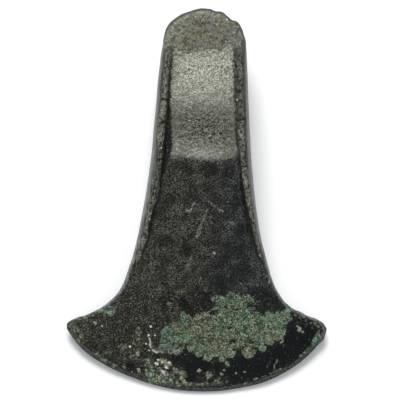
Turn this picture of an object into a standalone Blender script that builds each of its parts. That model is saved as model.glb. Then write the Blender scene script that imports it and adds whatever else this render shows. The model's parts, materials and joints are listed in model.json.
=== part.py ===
"""A Bronze Age flanged axe head, cast in one piece, lying as it rests when it is loose.

The casting is worked out in its own frame: x across it, s down its length from the butt, and h out
from its middle plane. One face is a grid whose border lies on the middle plane along the outline,
and a mirror makes the other face, as the two halves of a mould would. The head is then laid down on
its two lower flanges and the middle of its cutting edge, and rubbed flat where it touches.
"""

import math

import bmesh
import bpy
import numpy as np
from mathutils import Euler, Vector
from mathutils.geometry import interpolate_bezier

MM = 0.001

# Plan of the head
LENGTH = 110.0 * MM
BUTT_WIDTH = 23.7 * MM
BUTT_ARCH = 9.4 * MM
WAIST_WIDTH = 31.6 * MM
WAIST_STATION = 55.0 * MM
BLADE_WIDTH = 74.9 * MM
CRESCENT_DEPTH = 18.9 * MM
EDGE_LOW_POINT = 1.9 * MM

# Chip broken from the butt
CHIP_PLACE = 7.3 * MM
CHIP_HALF_WIDTH = 1.9 * MM
CHIP_DEPTH = 0.9 * MM
CHIP_FADE = 6.0 * MM

# Thickness of the plate between the flanges, and of the blade
BUTT_THICKNESS = 4.4 * MM
SEAT_STATION = 24.0 * MM
SEAT_THICKNESS = 7.2 * MM
STOP_STATION = 42.5 * MM
STOP_RUN = 4.6 * MM
STOP_FOOT_THICKNESS = 8.4 * MM
STOP_THICKNESS = 10.2 * MM
SHOULDER_THICKNESS = 6.4 * MM
SHOULDER_FROM_EDGE = 27.0 * MM
BLADE_THICKNESS = 3.5 * MM
BLADE_FROM_EDGE = 10.0 * MM
BEVEL_THICKNESS = 1.9 * MM
BEVEL_WIDTH = 1.8 * MM
EDGE_THICKNESS = 0.6 * MM
EDGE_ROUND = 0.15 * MM
BUTT_ROUND = 1.8 * MM

# Flanges hammered up along both sides
FLANGE_START = 4.0 * MM
FLANGE_PEAK = 44.0 * MM
FLANGE_END = 78.0 * MM
FLANGE_DEPTH = 18.0 * MM
FLANK_INSET = 1.6 * MM
CREST_WIDTH = 1.4 * MM
INNER_RUN = 1.4 * MM
CREST_RIPPLE = 0.3 * MM
RIPPLE_PITCH = 7.5 * MM
LONG_SWING = 0.3
SHORT_SWING = 0.2
SHORT_RATE = 1.7
SHORT_PHASE = 2.3

# Rub that leaves a flat where the head touches what it lies on
RUB_DEPTH = 0.2 * MM

# Curvature of the outline, as shares of what each curve spans
WAIST_LEAN = 0.15
WAIST_PULL = 1.0
HORN_ANGLE = math.radians(33)
HORN_PULL = 0.565
LEFT_EDGE_PULL = 0.48
LEFT_TIP_PULL = 0.53
LEFT_TIP_ANGLE = math.radians(82)
RIGHT_EDGE_PULL = 0.635
RIGHT_TIP_PULL = 0.3
RIGHT_TIP_ANGLE = math.radians(76)
FLANGE_FADE = 1.4
FLANK_THINNING = 0.6
INNER_HOLLOW = 1.5
FACE_BLEND = 0.25 * MM

# Fineness of the grid
ROW_STEP = 2.5 * MM
MIDDLE_COLUMNS = 14
FLANK_STEPS = (0.0, 22.5, 45.0, 67.5, 90.0)
INNER_STEPS = (0.3, 0.65, 1.0)
BUTT_ROWS = (0.0, 0.08, 0.3)
CURVE_POINTS = 160
HEADING_STEP = 0.5 * MM
EDGE_HEADING_STEP = 0.2 * MM
LEAST_SLANT = 0.4
SHARP_ANGLE = math.radians(40)
MERGE_DISTANCE = 0.01 * MM
SLOPE_FINENESS = 1e-7

TIP_STATION = LENGTH - CRESCENT_DEPTH
EDGE_APEX = Vector((EDGE_LOW_POINT, LENGTH))


def bezier(start, start_handle, end_handle, end):
    """Points of a curve in the plan, as rows of (x, s)."""
    points = interpolate_bezier(start, start_handle, end_handle, end, CURVE_POINTS)
    return np.array([point[:] for point in points])


def arc_lengths(path):
    """Distance along a path to each of its points."""
    steps = np.hypot(*np.diff(path, axis=0).T)
    return np.concatenate([[0.0], np.cumsum(steps)])


def point_along(path, distance):
    """The point at a distance along a path."""
    run = arc_lengths(path)
    return np.array([np.interp(distance, run, path[:, axis]) for axis in (0, 1)])


def heading(path, length, distance, reach):
    """Direction of a path at a distance along it, taken over a short reach to both sides."""
    ahead = point_along(path, min(length, distance + reach))
    behind = point_along(path, max(0.0, distance - reach))
    return (ahead - behind) / math.hypot(*(ahead - behind))


def distance_to(path, point):
    """Shortest distance from a point to a path."""
    starts = path[:-1]
    spans = path[1:] - starts
    shares = ((point - starts) * spans).sum(1) / np.maximum((spans**2).sum(1), 1e-18)
    nearest = starts + spans * np.clip(shares, 0, 1)[:, None]
    return np.hypot(*(point - nearest).T).min()


def side_path():
    """The right side, from the butt's shoulder past the waist to the blade's horn."""
    shoulder = Vector((BUTT_WIDTH / 2, BUTT_ARCH))
    waist = Vector((WAIST_WIDTH / 2, WAIST_STATION))
    horn = Vector((BLADE_WIDTH / 2, TIP_STATION))
    upper_third = (waist - shoulder) / 3
    reach = TIP_STATION - WAIST_STATION
    flare = Vector((WAIST_LEAN, 1.0)) * WAIST_PULL * reach
    arrival = Vector((math.cos(HORN_ANGLE), math.sin(HORN_ANGLE)))
    pull = HORN_PULL * (BLADE_WIDTH - WAIST_WIDTH) / 2
    lean = Vector((WAIST_LEAN, 1.0)) * upper_third.y
    upper = bezier(shoulder, shoulder + upper_third, waist - lean, waist)
    lower = bezier(waist, waist + flare, horn - arrival * pull, horn)
    return np.concatenate([upper, lower[1:]])


def edge_path():
    """The cutting edge, from the left horn to the right one."""
    left = Vector((-BLADE_WIDTH / 2, TIP_STATION))
    right = Vector((BLADE_WIDTH / 2, TIP_STATION))
    left_tip = Vector((math.cos(LEFT_TIP_ANGLE), math.sin(LEFT_TIP_ANGLE)))
    right_tip = Vector((-math.cos(RIGHT_TIP_ANGLE), math.sin(RIGHT_TIP_ANGLE)))
    left_span = EDGE_APEX.x - left.x
    right_span = right.x - EDGE_APEX.x
    left_half = bezier(
        left,
        left + left_tip * LEFT_TIP_PULL * CRESCENT_DEPTH,
        EDGE_APEX - Vector((LEFT_EDGE_PULL * left_span, 0)),
        EDGE_APEX,
    )
    right_half = bezier(
        EDGE_APEX,
        EDGE_APEX + Vector((RIGHT_EDGE_PULL * right_span, 0)),
        right + right_tip * RIGHT_TIP_PULL * CRESCENT_DEPTH,
        right,
    )
    return np.concatenate([left_half, right_half[1:]])


def chip(x, station):
    """How far the chip in the butt pushes a row of the grid down the head."""
    dip = max(0.0, 1 - abs(x - CHIP_PLACE) / CHIP_HALF_WIDTH)
    return CHIP_DEPTH * dip * max(0.0, 1 - station / CHIP_FADE)


def arch_path():
    """The round end of the butt, from the left shoulder to the right one."""
    turns = np.linspace(0, math.pi, CURVE_POINTS)
    across = -np.cos(turns) * BUTT_WIDTH / 2
    down = BUTT_ARCH * (1 - np.sin(turns))
    return np.array([(x, s + chip(x, 0.0)) for x, s in zip(across, down)])


SIDE = side_path()
EDGE = edge_path()
ARCH = arch_path()
MIRRORED_SIDE = SIDE * (-1, 1)
SIDE_LENGTH = arc_lengths(SIDE)[-1]
EDGE_LENGTH = arc_lengths(EDGE)[-1]


def ripple(station, phase):
    """Dips hammered along a flange, between 0 and 1."""
    turn = 2 * math.pi * station / RIPPLE_PITCH
    long_dips = LONG_SWING * math.sin(turn + phase)
    short_dips = SHORT_SWING * math.sin(SHORT_RATE * turn + SHORT_PHASE * phase)
    return LONG_SWING + SHORT_SWING + long_dips + short_dips


def smooth_least(first, second):
    """The smaller of two heights, rounded where they cross."""
    return -FACE_BLEND * math.log(math.exp(-first / FACE_BLEND) + math.exp(-second / FACE_BLEND))


def face_height(station, from_edge):
    """Half the thickness of the plate or blade."""
    plate = np.interp(
        station,
        [0, SEAT_STATION, STOP_STATION - STOP_RUN, STOP_STATION],
        [BUTT_THICKNESS / 2, SEAT_THICKNESS / 2, STOP_FOOT_THICKNESS / 2, STOP_THICKNESS / 2],
    )
    if station <= STOP_STATION:
        return plate
    blade = np.interp(
        from_edge,
        [BEVEL_WIDTH, BLADE_FROM_EDGE, SHOULDER_FROM_EDGE, LENGTH - STOP_STATION],
        [BEVEL_THICKNESS / 2, BLADE_THICKNESS / 2, SHOULDER_THICKNESS / 2, STOP_THICKNESS / 2],
    )
    return smooth_least(plate, blade)


def crest_height(station, from_edge, side):
    """Half the depth across the flanges, less the dips from hammering."""
    face = face_height(station, from_edge)
    if not FLANGE_START < station < FLANGE_END:
        return face
    if station < FLANGE_PEAK:
        climb = (station - FLANGE_START) / (FLANGE_PEAK - FLANGE_START)
        line = BUTT_THICKNESS / 2
        line += (FLANGE_DEPTH - BUTT_THICKNESS) / 2 * math.sin(climb * math.pi / 2)
    else:
        fall = (station - FLANGE_PEAK) / (FLANGE_END - FLANGE_PEAK)
        line = face + (FLANGE_DEPTH - STOP_THICKNESS) / 2 * (1 - fall**FLANGE_FADE)
    dip = CREST_RIPPLE * ripple(station, side)
    return max(face, line - dip)


def flank_inset(crest):
    """Distance in from the outline at which the rounded flank reaches the crest."""
    return FLANK_INSET * (2 * crest / FLANGE_DEPTH) ** FLANK_THINNING


def quarter_round(share):
    """Height of a quarter circle, for a distance in from its foot."""
    return math.sqrt(max(0.0, 1 - (1 - min(1.0, share)) ** 2))


def surface_height(point):
    """Height of one face above the middle plane at a point of the plan."""
    x, station = point
    from_edge = distance_to(EDGE, point)
    from_butt = distance_to(ARCH, point)
    from_side = min(distance_to(SIDE, point), distance_to(MIRRORED_SIDE, point))
    side = math.copysign(1, x)
    face = face_height(station, from_edge)
    crest = crest_height(station, from_edge, side)
    inset = flank_inset(crest)
    down = min(1.0, max(0.0, (from_side - inset - CREST_WIDTH) / INNER_RUN))
    height = face + (crest - face) * (1 - down) ** INNER_HOLLOW
    height *= quarter_round(from_side / inset)
    height *= quarter_round(from_butt / BUTT_ROUND)
    if from_edge < BEVEL_WIDTH:
        grown = EDGE_THICKNESS / 2 + (BEVEL_THICKNESS - EDGE_THICKNESS) / 2 * from_edge / BEVEL_WIDTH
        height = min(height, grown)
    return height * quarter_round(from_edge / EDGE_ROUND)


def row_stations():
    """Stations down the centre line of the grid's rows, with one on every crease."""
    breaks = [BUTT_ROUND, FLANGE_START + BUTT_ROUND, SEAT_STATION, STOP_STATION - STOP_RUN, STOP_STATION]
    breaks += [FLANGE_END, LENGTH - BEVEL_WIDTH]
    stations = [share * BUTT_ROUND for share in BUTT_ROWS]
    start = BUTT_ROUND
    for stop in breaks[1:]:
        count = max(1, math.ceil((stop - start) / ROW_STEP))
        stations += [start + (stop - start) * step / count for step in range(count)]
        start = stop
    return stations + [start]


def side_station_run(station):
    """Distance down the side of the row that crosses the centre line at a station."""
    side_stations = SIDE[:, 1]
    run = arc_lengths(SIDE)
    straight_from = SEAT_STATION
    straight_to = WAIST_STATION + (WAIST_STATION - STOP_STATION)
    first, last = np.interp([straight_from, straight_to], side_stations, run)
    inside = np.interp(station, side_stations, run)
    if station < straight_from:
        return first * station / straight_from
    if station > straight_to:
        left = (station - straight_to) / (LENGTH - BEVEL_WIDTH - straight_to)
        return last + (SIDE_LENGTH - BEVEL_WIDTH - last) * left
    return inside


def column_insets(crest, slant):
    """Distances across from the side to the columns of the flank, the crest and the inner slope."""
    inset = flank_inset(crest)
    flank = [inset * (1 - math.cos(math.radians(angle))) for angle in FLANK_STEPS]
    top = [inset + CREST_WIDTH / 2, inset + CREST_WIDTH]
    slope = [inset + CREST_WIDTH + INNER_RUN * share for share in INNER_STEPS]
    return [distance / slant for distance in flank + top + slope]


def across_row(half, station, slant):
    """Positions across a row of the grid, from its left end to its right end."""
    from_edge = LENGTH - station
    left = column_insets(crest_height(station, from_edge, -1), slant)
    right = column_insets(crest_height(station, from_edge, 1), slant)
    inner_left, inner_right = left[-1] - half, half - right[-1]
    middle = np.linspace(inner_left, inner_right, MIDDLE_COLUMNS + 1)[1:-1]
    return [inset - half for inset in left] + list(middle) + [half - inset for inset in reversed(right)]


def bow(x, half, station):
    """How far a row bends from straight, 0 at its ends and 1 in the middle of the grid's own bow."""
    if station < STOP_STATION:
        share = min(1.0, abs(x) / half)
        return math.sqrt(1 - share**2)
    crescent = np.interp(x * BLADE_WIDTH / 2 / half, EDGE[:, 0], EDGE[:, 1])
    return (crescent - TIP_STATION) / CRESCENT_DEPTH


def body_row(station):
    """One row of the grid, across the head above the cutting edge's bevel."""
    run = side_station_run(station)
    half, side_station = point_along(SIDE, run)
    slant = max(LEAST_SLANT, heading(SIDE, SIDE_LENGTH, run, HEADING_STEP)[1])
    row = []
    for x in across_row(half, station, slant):
        reach = (station - side_station) * bow(x, half, station)
        row.append((x, side_station + reach + chip(x, station)))
    return row


def bevel_row(last_body_row, from_edge):
    """One row of the grid, parallel to the cutting edge."""
    row = []
    for x, _ in last_body_row:
        share = (x / (last_body_row[-1][0] - last_body_row[0][0])) + 0.5
        distance = np.interp(share * BLADE_WIDTH - BLADE_WIDTH / 2, EDGE[:, 0], arc_lengths(EDGE))
        here = point_along(EDGE, distance)
        across, down = heading(EDGE, EDGE_LENGTH, distance, EDGE_HEADING_STEP)
        row.append(tuple(here + np.array([down, -across]) * from_edge))
    horn = point_along(SIDE, SIDE_LENGTH - from_edge)
    row[0] = (-horn[0], horn[1])
    row[-1] = (horn[0], horn[1])
    return row


def plan_grid():
    """The grid's points in the plan, row by row from the butt to the cutting edge."""
    stations = row_stations()
    rows = [body_row(station) for station in stations[:-1]]
    rows.append(bevel_row(rows[-1], BEVEL_WIDTH))
    for from_edge in (BEVEL_WIDTH / 2, EDGE_ROUND, 0.0):
        rows.append(bevel_row(rows[-1], from_edge))
    return rows


def split_corners(mesh):
    """Splits the grid's corner faces toward the inside, so that no triangle lies in the middle plane."""
    for corner in [vertex for vertex in mesh.verts if len(vertex.link_faces) == 1]:
        face = corner.link_faces[0]
        place = list(face.verts).index(corner)
        bmesh.utils.face_split(face, corner, face.verts[place - 2])


def half_casting():
    """A mesh of one face, open along the outline on the middle plane."""
    rows = plan_grid()
    columns = len(rows[0])
    mesh = bmesh.new()
    bmesh.ops.create_grid(mesh, x_segments=columns - 1, y_segments=len(rows) - 1, size=1)
    for vertex in mesh.verts:
        column = round((vertex.co.x + 1) / 2 * (columns - 1))
        row = round((1 - vertex.co.y) / 2 * (len(rows) - 1))
        x, station = rows[row][column]
        on_outline = row in (0, len(rows) - 1) or column in (0, columns - 1)
        height = 0.0 if on_outline else surface_height(np.array((x, station)))
        vertex.co = (x, LENGTH / 2 - station, height)
    split_corners(mesh)
    data = bpy.data.meshes.new("axe_head")
    mesh.to_mesh(data)
    mesh.free()
    data.shade_smooth()
    data.set_sharp_from_angle(angle=SHARP_ANGLE)
    return data


def balance(face):
    """Where the head's weight lies along it, from the mesh of one face."""
    weights = np.array([polygon.area * polygon.normal.z * polygon.center.z for polygon in face.polygons])
    places = np.array([polygon.center.y for polygon in face.polygons])
    return (weights * places).sum() / weights.sum()


def rest_slope(face):
    """Slope at which the head lies, the one that lets its weight down lowest."""
    middle = balance(face)
    points = np.array([vertex.co[:] for vertex in face.vertices])
    flattest, steepest = 0.0, 1.0
    while steepest - flattest > SLOPE_FINENESS:
        third = (steepest - flattest) / 3
        tries = (flattest + third, steepest - third)
        lifts = [(points[:, 2] - slope * (points[:, 1] - middle)).max() for slope in tries]
        if lifts[0] < lifts[1]:
            steepest = tries[1]
        else:
            flattest = tries[0]
    return (flattest + steepest) / 2


def bronze():
    """Dark, dull patina on bronze."""
    material = bpy.data.materials.new("patinated_bronze")
    material.use_nodes = True
    shader = material.node_tree.nodes["Principled BSDF"]
    shader.inputs["Base Color"].default_value = (0.075, 0.075, 0.062, 1)
    shader.inputs["Roughness"].default_value = 0.5
    shader.inputs["Metallic"].default_value = 0.5
    return material


def table_cutter(collection):
    """A slab under the resting head, whose top takes off what is rubbed away."""
    size = 4 * LENGTH
    data = bpy.data.meshes.new("table_cutter")
    mesh = bmesh.new()
    bmesh.ops.create_cube(mesh, size=size)
    bmesh.ops.translate(mesh, verts=mesh.verts, vec=(0, 0, -size / 2))
    mesh.to_mesh(data)
    mesh.free()
    cutter = bpy.data.objects.new("table_cutter", data)
    cutter.hide_render = True
    cutter.display_type = "WIRE"
    collection.objects.link(cutter)
    return cutter


def lay_down(head):
    """Tilts the head onto its flanges and edge, with its box centred over the origin."""
    points = [vertex.co.copy() for vertex in head.data.vertices]
    turn = Euler((math.atan(rest_slope(head.data)), 0, 0))
    both_faces = points + [Vector((p.x, p.y, -p.z)) for p in points]
    laid = [turn.to_matrix() @ point for point in both_faces]
    low = [min(point[axis] for point in laid) for axis in range(3)]
    high = [max(point[axis] for point in laid) for axis in range(3)]
    head.rotation_euler = turn
    head.location = (-(low[0] + high[0]) / 2, -(low[1] + high[1]) / 2, -low[2] - RUB_DEPTH)


def build():
    """Builds the head and lays it down."""
    for item in list(bpy.data.objects):
        bpy.data.objects.remove(item)
    parts = bpy.data.collections.new("flanged_axe_head")
    cutters = bpy.data.collections.new("cutters")
    for collection in (parts, cutters):
        bpy.context.scene.collection.children.link(collection)
    head = bpy.data.objects.new("axe_head", half_casting())
    head.data.materials.append(bronze())
    parts.objects.link(head)
    lay_down(head)
    other_face = head.modifiers.new("other_face", "MIRROR")
    other_face.use_axis = (False, False, True)
    other_face.merge_threshold = MERGE_DISTANCE
    rub = head.modifiers.new("rubbed_flats", "BOOLEAN")
    rub.operation = "DIFFERENCE"
    rub.object = table_cutter(cutters)


build()
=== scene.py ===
"""A Bronze Age flanged axe head, lying on a pale table and seen from straight above.

The casting's own solid gives the form. A finely divided copy of it is then weathered the way the real
one is: hammered flanges with cracks, a pebbled haft seat, a blade pitted under dark patina, and a
crust of green corrosion in lobes. Places on the upper face are given in the photograph's pixels, and
sizes in millimetres.
"""

import json
import math

import bmesh
import bpy
import numpy as np
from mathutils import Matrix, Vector, kdtree, noise


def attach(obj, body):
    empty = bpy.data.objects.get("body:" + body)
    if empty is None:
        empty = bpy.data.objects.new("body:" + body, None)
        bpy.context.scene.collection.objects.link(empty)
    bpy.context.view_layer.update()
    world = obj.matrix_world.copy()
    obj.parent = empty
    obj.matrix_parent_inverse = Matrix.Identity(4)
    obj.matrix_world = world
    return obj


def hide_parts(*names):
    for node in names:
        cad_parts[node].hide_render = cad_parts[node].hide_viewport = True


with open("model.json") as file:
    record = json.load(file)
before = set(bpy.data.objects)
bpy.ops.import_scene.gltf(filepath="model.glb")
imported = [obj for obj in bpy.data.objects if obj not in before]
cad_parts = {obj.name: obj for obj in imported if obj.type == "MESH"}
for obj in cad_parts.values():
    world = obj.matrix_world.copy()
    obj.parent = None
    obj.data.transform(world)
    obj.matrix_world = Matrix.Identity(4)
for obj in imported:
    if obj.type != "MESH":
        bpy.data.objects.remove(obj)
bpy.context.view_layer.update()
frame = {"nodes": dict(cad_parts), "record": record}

MM = 0.001

# The photograph: 400 by 400 pixels, looking straight down, with the head turned a little in it. A
# pixel is in millimetres at the level of the plate, and levels are millimetres above the table
PICTURE_WIDTH = 400
HEAD_MIDDLE = (200.2, 200.0)
PIXEL = 0.2854
HEAD_TURN = math.radians(1.5)
PLATE_LEVEL = 7.0
CAMERA_LEVEL = 1800.0
SENSOR_WIDTH = 36.0

# The mesh: longest edges in millimetres, finest over the blade and the seat's middle, and rounds of cuts
WELD = 0.001
FINE_EDGE = 0.44
FACE_EDGE = 0.6
UNDER_EDGE = 1.15
DIVIDE_ROUNDS = 5
FINE_BLADE_ROW = 292
FINE_SEAT_COLUMNS = (170, 238)
FINE_SEAT_ROW = 165
TABLE_GAP = 0.01

# The outline: how near the middle plane its points lie, and where from the butt's end its straight
# sides begin and its horns end
OUTLINE_REACH = 0.1
SIDES_FROM_BUTT = 7.4
TIP_FROM_BUTT = 91.1

# The horns' upper sides, bent along the head: how far the left and the right one move, and between
# which distances from the butt's end and from the middle line the bend comes in and fades out
HORN_MOVES = (-0.6, 0.75)
HORN_STARTS = (68, 84)
HORN_ENDS = (90, 98)
HORN_INNER = (14, 24)
HORN_OUTER = (31, 37)

# Small corrections of the outline: place in the photograph, shift to the right and down, and reach
OUTLINE_SHIFTS = (
    (157, 84, -0.75, 0, 26), (154, 126, -0.6, 0, 18), (162, 42, 0.5, 0, 8), (136, 250, 0.55, 0, 24),
    (121, 286, 0.9, 0, 12), (266, 262, 1.2, 0, 18), (244, 34, -0.8, 0.8, 6), (164, 33, 0.5, 0.3, 6),
    (177, 17, 0, 0.8, 8), (190, 11, 0, 0.9, 7), (216, 10, 0, 1.4, 4), (231, 20, 0, 0.8, 5),
    (72, 320, 0, -1.0, 6), (96, 311, 0, -0.8, 10), (108, 302, 0, -1.0, 8), (118, 291, 0, -0.2, 6),
    (288, 305, 0, 1.0, 10), (314, 319, 0, -1.0, 4), (319, 322, 0, -2.4, 5), (324, 327, 0.4, -3.2, 5),
    (150, 383, 0, 0.6, 16), (178, 388, 0, 1.5, 22), (214, 390, 0, 0.9, 22), (266, 380, 0, 1.4, 22),
    (294, 366, 0, 0.7, 16), (322, 339, 1.2, 0.6, 5), (327, 328, -0.9, 0.2, 3), (68, 328, -0.9, 0.5, 4),
    (69, 319.5, -0.6, 0.6, 2.5), (74.5, 318.6, 0, 0.7, 1.6),
)

# Where a flange's flank, crest and inner slope end: row of the photograph, millimetres from the side.
# The inner slope is given painted shade, and on the left its band also takes in the flange's painted
# shadow on the seat, so it is wider there. The slope's border has a fringe whose width changes between
# two rows, and a flange starts past the butt
LEFT_BANDS = (
    (50, 1.2, 2.7, 3.5), (95, 1.4, 2.95, 4.0), (121, 0.95, 3.05, 4.8), (137, 1.0, 3.05, 5.5),
    (144, 1.8, 2.85, 5.9), (160, 1.9, 3.1, 5.2), (180, 1.5, 3.2, 4.2), (198, 1.6, 4.1, 4.7),
    (209, 1.1, 2.95, 3.6), (227, 1.4, 2.6, 3.3), (240, 1.1, 3.2, 3.7), (250, 1.2, 2.2, 2.8),
    (259, 0.85, 2.5, 2.9), (265, 0.9, 1.0, 1.4), (276, 0.9, 0.9, 0.9), (305, 0.55, 0.55, 0.55),
)
RIGHT_BANDS = (
    (50, 1.2, 3.6, 4.0), (95, 1.4, 3.9, 4.2), (121, 1.0, 3.8, 4.2), (137, 1.35, 3.55, 4.3),
    (160, 1.3, 2.95, 3.7), (180, 1.3, 2.95, 3.8), (199, 1.0, 2.85, 3.7), (213, 0.75, 2.35, 3.3),
    (227, 0.9, 1.9, 2.9), (240, 0.9, 1.8, 2.6), (256, 0.9, 1.7, 2.4), (264, 0.8, 0.85, 1.7),
    (276, 0.8, 0.8, 0.8), (305, 0.5, 0.5, 0.5),
)
FRINGE_ROWS = (150, 195)
FRINGE_WIDTHS = (1.1, 0.3)
FLANGE_STARTS = (8, 15)
FLANK_RUN = (1, 0.2, 1)

# Cracks across the crests, flaked places with their depth, which is below 0 where they stand up, green
# parts, the half width of a crack, and grooves at the foot of the lower crests and beside the upper
# right flank, with their rows. Shade is painted into the cracks and grooves
CREST_CRACKS = (
    ((161.5, 100), (164, 99.4), (167.2, 99.8)),
    ((159.4, 123.6), (163, 122.4), (166.8, 123)),
    ((235.5, 119.6), (240, 121), (245, 118.6)),
    ((236.5, 92), (241, 91.4)),
    ((243, 167.4), (247, 166.4)),
    ((158, 160), (163, 158.6)),
)
CREST_FLAKES = ((164, 111, 7, 0.16), (161.5, 131, 7.5, 0.2), (241, 135, 6, -0.14), (245.5, 180, 6, -0.12))
GREEN_CREST = (
    (((162.4, 60), (162, 96)), 1.8),
    (((157.4, 168), (155.8, 180), (153.4, 191)), 3.2),
)
CRACK_WIDTH = 0.75
FOOT_WIDTH = 0.26
LOWER_CREST_START = (184, 200)
LOWER_CREST_END = (262, 266)
BROW_WIDTH = 0.2
BROW_START = (52, 60)
BROW_END = (158, 172)

# How worn the flanks are, from the butt down, and the share of that on each side. The right side's low
# share paints shade on its flank and crest
TOP_WORN = 0.27
WORN_GAIN = 0.84
WORN_ROWS = (80, 225)
LEFT_SIDE_LIGHT = 1.1
RIGHT_SIDE_LIGHT = 0.48

# Corrosion crust on the upper face: middle and radius of each lobe, of the scallops that hang from its
# lower side, of the holes in it, and of the low broken crust near the edge
CRUST_LOBES = (
    (216, 299.5, 3.4), (221, 300, 5), (226, 303, 7), (232, 300, 8), (240, 302, 8), (246, 300, 5),
    (220, 309, 7), (250, 300, 3.4), (250, 310, 4.4), (206, 319, 7), (198, 324, 9), (189, 325, 9),
    (184, 318, 5), (184, 335, 10), (197, 338, 10), (212, 330, 14), (228, 320, 13), (243, 317, 9),
    (256, 323, 11), (270, 320, 9), (280, 316, 7), (287, 311, 5), (286, 318, 6), (280, 328, 7),
    (279, 335, 6), (266, 330, 11), (250, 332, 12), (234, 330, 11), (226, 340, 10), (212, 343, 9),
    (256, 342, 6), (246, 341, 5), (200, 347, 5), (238, 344.5, 6), (247, 345, 6), (262, 340, 6),
    (272, 334, 7), (226, 347, 7), (213, 350, 7), (204, 351, 5), (221, 353, 5), (219, 347, 8),
    (222, 359, 3.6), (225.5, 363, 2.6), (228.4, 366, 1.6), (167, 333, 6.5), (166, 340, 6.5),
    (173, 343, 7), (163, 348, 5), (176, 327, 5), (172, 350, 5), (180, 349, 4), (158, 350.5, 3),
    (110.4, 310.6, 5.2), (105.6, 312.4, 3), (316.4, 340, 4), (314, 344.6, 2.6), (318, 335, 2.4),
)
SCALLOPS = (
    (270, 339.6, 5.6), (262, 347, 4.5), (249, 350.6, 7.6), (229.6, 351.6, 6.4), (208.2, 356.8, 4.5),
    (198.6, 351.6, 5), (280.4, 342.5, 1.6), (176.5, 351, 4.4), (191, 347, 4.6), (277.6, 336, 5),
)
CRUST_HOLES = (
    (257.4, 303.5, 4.6), (263, 303, 6.6), (270, 303.5, 7), (277, 305.5, 6), (282, 308, 3.6),
    (234, 341, 2.2), (231, 342.6, 1.5), (236.6, 339, 1.3), (239, 350.5, 1.8), (239.6, 354, 2),
    (214, 311.5, 3), (209, 309, 4), (226, 306.5, 1.2), (250.6, 341.3, 1.5), (253.6, 342.3, 1.3),
    (258, 343.6, 1.5), (266.4, 343, 1.3), (186, 352, 3), (242.6, 347.4, 1.2), (230, 328, 1),
)
MOSAIC_PLACES = (
    (151, 373.6, 5.2), (157, 379, 6), (163.6, 376.6, 5.6), (169, 381, 4), (152, 381, 3.4),
    (146.6, 371.6, 2.6), (149.4, 361, 3), (151.4, 366.6, 2.8), (166.4, 366, 3), (158.6, 370.4, 3.2),
    (162, 361.6, 3.4), (183.6, 376, 2.6), (176.4, 371, 2.4), (106, 361, 2.4), (186, 384, 2.4),
    (215.6, 382, 2), (124, 346.4, 2.4),
)

# Rows between which the crust's rim turns pale, the row past which the lower face has crust, and the
# distance and closeness that stand for far outside every place
HEM_ROWS = (318, 335)
UNDER_CRUST_ROW = 292
FAR_OUTSIDE = -60.0
FAR_AWAY = -9.0

# Where the crust is teal, green, olive or paler
TEAL_PLACES = (
    (166, 334, 8), (170, 341, 6), (168, 329, 5), (250, 308, 6), (248, 314, 4), (289, 309, 7),
    (74, 326, 4), (110, 309, 7), (314, 341, 9), (86, 316, 9),
)
GREEN_PLACES = (
    (233.6, 299, 8), (264, 320, 10), (274, 318, 9), (226, 327, 10), (240, 318, 8), (262, 346, 5),
    (183, 321, 6), (176, 338, 8), (221, 300, 5), (281, 323, 7), (106, 361, 8), (117, 366, 5),
    (151, 376, 6), (186, 384, 6), (160, 381, 5), (244, 332, 7), (205, 352, 6), (186, 336, 6),
    (316, 340, 9), (74, 326, 5), (294, 359, 12),
)
OLIVE_PLACES = (
    (203, 320, 12), (194, 332, 10), (216, 345, 11), (243, 345, 7), (178, 347, 7), (214, 297, 6),
    (184, 375, 5), (80, 337, 6), (178, 34, 8), (172, 43, 5), (184, 22, 5), (212, 336, 8), (252, 350, 6),
    (318, 327, 6), (123, 346, 5), (163, 362, 7),
)
PALE_CRUST_PLACES = (
    (110.4, 311, 8), (272, 316, 9), (284, 314, 7), (262, 347, 4), (158, 351, 4), (316, 340, 6),
)

# Small growths of the same crust around it, paler angular crystals, and four-cornered flakes of crust
SMALL_GROWTHS = (
    (172.6, 377, 3), (183, 375, 3.4), (185.4, 383, 3), (192, 385, 2.6), (210, 376, 2.4),
    (216, 382, 2.4), (220, 374, 2.4), (79.6, 337, 5), (80, 339, 4), (73.5, 325.5, 3.4), (139, 329, 2.6),
    (137, 335, 2.2), (152, 316, 2), (183.6, 313.4, 2),
)
CRYSTALS = (
    (163.6, 361.4, 2.6), (169.4, 363.6, 2.6), (157, 363.8, 1.9), (158.6, 359.8, 1.4),
    (138.8, 370.2, 2.1), (199.2, 370.6, 2), (223.6, 370, 1.3), (137.8, 353.8, 2.3), (209.6, 375.4, 1.4),
    (214, 253.2, 1.8), (299.6, 329.4, 2.4), (302.6, 332, 1.3), (297.6, 326.4, 1.2), (236, 373.2, 1.1),
    (244.6, 372, 1.1), (95, 322.8, 1.8), (269, 282, 1.2), (166, 366.6, 1.8), (161.4, 370.6, 1.6),
    (164.8, 371.8, 1.4),
)
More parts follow.
